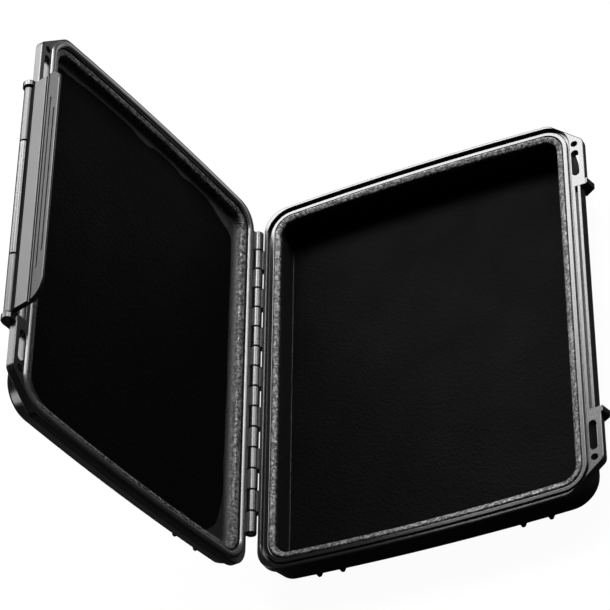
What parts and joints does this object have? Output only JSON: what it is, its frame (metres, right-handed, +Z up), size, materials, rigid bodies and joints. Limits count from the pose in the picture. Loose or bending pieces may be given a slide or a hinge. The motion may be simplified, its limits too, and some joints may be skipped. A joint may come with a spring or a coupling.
{
  "type": "tablet case",
  "caption": "Hard clamshell case for a tablet: rubber-lined base and gasketed lid on a long pin hinge, shut by one wide latch.",
  "frame": {"origin": "centre of the flat bottom face of the base, lid standing open", "axes": "+X from the hinge to the latch side, +Y along the hinge, +Z up out of the base"},
  "size_m": [0.2609, 0.269, 0.2534],
  "materials": {
    "shell_plastic": "black moulded plastic with a fine satin texture",
    "liner_rubber": "black rubber with a leather-like grain",
    "pad_foam": "matt black closed-cell foam",
    "gasket_rubber": "smooth glossy black rubber",
    "pin_steel": "drawn steel wire"
  },
  "bodies": {
    "base": {"base_shell": "shell_plastic", "base_liner": "liner_rubber", "base_pad": "pad_foam", "hinge_pin": "pin_steel"},
    "lid": {"lid_shell": "shell_plastic", "lid_gasket": "gasket_rubber", "lid_liner": "liner_rubber", "lid_pad": "pad_foam", "latch_pin": "pin_steel"},
    "latch": {"latch": "shell_plastic"}
  },
  "joints": [
    {"name": "lid_hinge", "type": "hinge", "parent": "base", "child": "lid", "pos_m": [-0.1089, 0, 0.024], "axis": [0, -1, 0], "range_deg": [-96.5, 83.5]},
    {"name": "latch_hinge", "type": "hinge", "parent": "lid", "child": "latch", "pos_m": [-0.13973, 0, 0.24332], "axis": [0, -1, 0], "range_deg": [-9, 91]}
  ]
}
